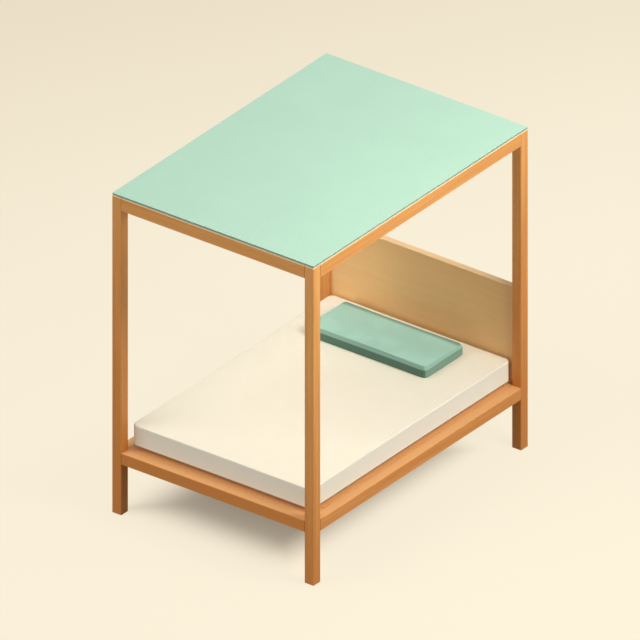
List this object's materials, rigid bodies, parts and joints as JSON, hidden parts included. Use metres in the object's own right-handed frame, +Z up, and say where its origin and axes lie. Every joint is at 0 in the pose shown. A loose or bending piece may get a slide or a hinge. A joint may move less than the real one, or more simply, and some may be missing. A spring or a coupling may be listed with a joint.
{
  "type": "canopy bed",
  "caption": "Canopy bed of square timber with posts, rails, panel headboard, slatted deck and a stretched cloth canopy, with a loose mattress and a flat pillow.",
  "frame": {"origin": "on the floor, under the middle of the bed's outline", "axes": "+Z up, +Y from the foot towards the head, +X towards the right-hand side as seen from the foot"},
  "size_m": [1.527, 2.1666, 2.222],
  "materials": {
    "oiled_timber": "satin",
    "pale_timber": "satin",
    "slat_timber": "matte",
    "mint_cloth": "matte",
    "pillow_cloth": "matte",
    "cream_ticking": "matte",
    "zinced_steel": "satin",
    "grey_felt": "matte"
  },
  "bodies": {
    "frame": {"post_foot_left": "oiled_timber", "post_foot_right": "oiled_timber", "post_head_left": "oiled_timber", "post_head_right": "oiled_timber", "rail_foot": "oiled_timber", "rail_head": "oiled_timber", "rail_left": "oiled_timber", "rail_right": "oiled_timber", "canopy_rail_foot": "oiled_timber", "canopy_rail_head": "oiled_timber", "canopy_rail_left": "oiled_timber", "canopy_rail_right": "oiled_timber", "headboard": "pale_timber", "ledge_foot": "oiled_timber", "ledge_head": "oiled_timber", "ledge_left": "oiled_timber", "ledge_right": "oiled_timber", "slat_01": "slat_timber", "slat_02": "slat_timber", "slat_03": "slat_timber", "slat_04": "slat_timber", "slat_05": "slat_timber", "slat_06": "slat_timber", "slat_07": "slat_timber", "slat_08": "slat_timber", "slat_09": "slat_timber", "slat_10": "slat_timber", "slat_11": "slat_timber", "slat_12": "slat_timber", "centre_beam": "slat_timber", "centre_leg_1": "slat_timber", "centre_leg_2": "slat_timber", "glide_centre_1": "grey_felt", "glide_centre_2": "grey_felt", "glide_foot_left": "grey_felt", "glide_foot_right": "grey_felt", "glide_head_left": "grey_felt", "glide_head_right": "grey_felt", "rail_bolt_foot_left": "zinced_steel", "rail_bolt_foot_right": "zinced_steel", "rail_bolt_head_left": "zinced_steel", "rail_bolt_head_right": "zinced_steel", "rail_nut_foot_left": "zinced_steel", "rail_nut_foot_right": "zinced_steel", "rail_nut_head_left": "zinced_steel", "rail_nut_head_right": "zinced_steel", "batten_foot": "slat_timber", "batten_head": "slat_timber", "batten_left": "slat_timber", "batten_right": "slat_timber", "cross_bar_1": "slat_timber", "cross_bar_2": "slat_timber", "canopy_pin_foot_left": "slat_timber", "canopy_pin_foot_right": "slat_timber", "canopy_pin_head_left": "slat_timber", "canopy_pin_head_right": "slat_timber", "canopy_cloth": "mint_cloth"},
    "mattress": {"mattress": "cream_ticking"},
    "pillow": {"pillow": "pillow_cloth"}
  },
  "joints": [
    {"name": "mattress_lift", "type": "slide", "parent": "frame", "child": "mattress", "axis": [0, 0, 1], "range_m": [0, 0.35]},
    {"name": "pillow_lift", "type": "slide", "parent": "mattress", "child": "pillow", "axis": [0, 0, 1], "range_m": [0, 0.4]}
  ]
}
